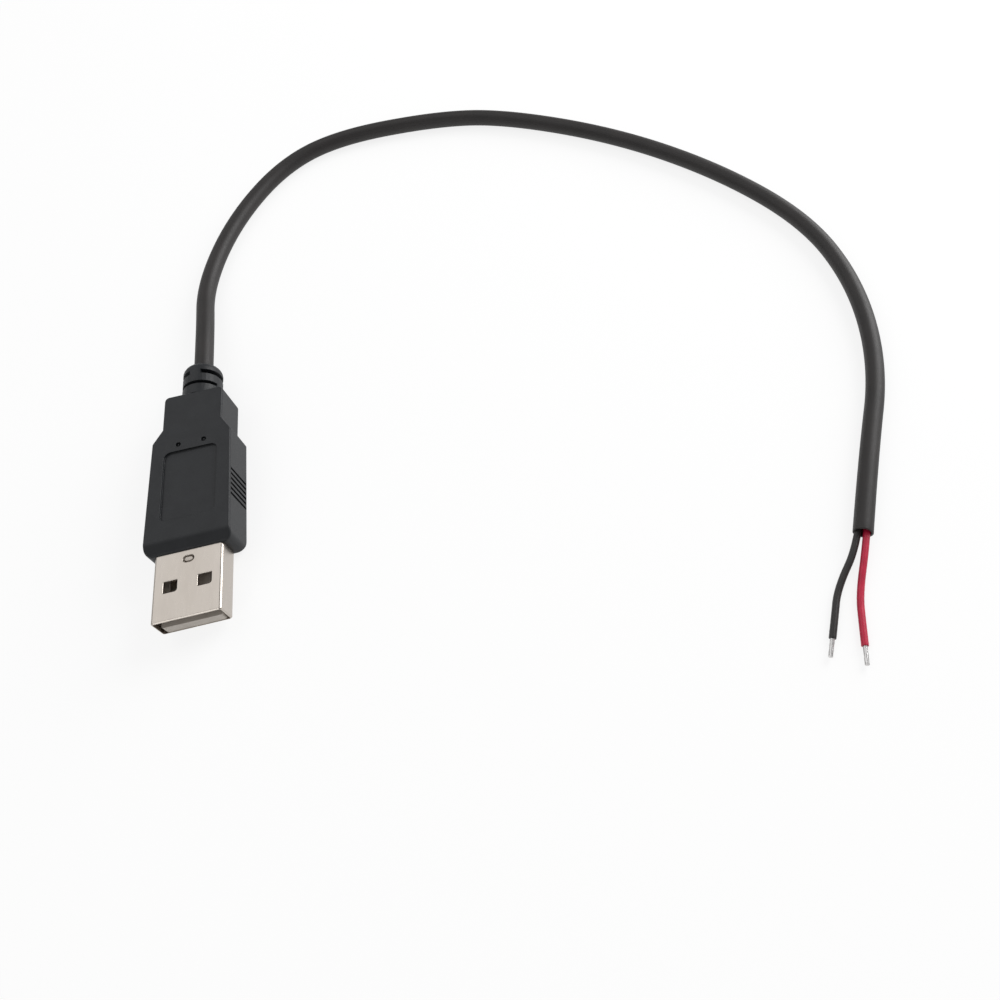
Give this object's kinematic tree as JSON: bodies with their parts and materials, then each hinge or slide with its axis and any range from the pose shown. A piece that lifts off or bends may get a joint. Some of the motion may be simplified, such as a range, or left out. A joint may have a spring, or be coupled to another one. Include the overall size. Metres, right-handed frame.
{
  "type": "usb pigtail cable",
  "caption": "Short power cable with a moulded type-A plug on one end, a slotted strain relief and bare tinned red and black wires on the other",
  "frame": {"origin": "middle of the plug in X and Y, with Z = 0 on the flat underside of the moulded grip; the cable and wires lie on Z = 0", "axes": "the plug's mouth faces -Y and its cable leaves towards +Y; +X is the plug's width, +Z the side with the recessed panel"},
  "size_m": [0.1377, 0.1535, 0.0072],
  "materials": {
    "nickel_steel": "satin nickel plating on folded steel sheet",
    "white_plastic": "white moulded plastic",
    "contact_strip": "dull plated brass strip",
    "solder": "bright solder",
    "inner_plastic": "natural moulded plastic",
    "black_moulding": "matte charcoal flexible moulding",
    "black_jacket": "matte black flexible sheath",
    "red_insulation": "satin crimson insulation",
    "black_insulation": "satin black insulation",
    "tinned_copper": "tinned copper strands"
  },
  "bodies": {
    "root": {"plug_shell": "nickel_steel", "contact_insert": "white_plastic", "positive_contact": "contact_strip", "negative_contact": "contact_strip", "positive_solder_joint": "solder", "negative_solder_joint": "solder", "inner_mould": "inner_plastic", "overmould_grip": "black_moulding", "cable_jacket": "black_jacket", "red_wire_insulation": "red_insulation", "black_wire_insulation": "black_insulation", "red_wire_conductor": "tinned_copper", "black_wire_conductor": "tinned_copper"}
  },
  "joints": []
}
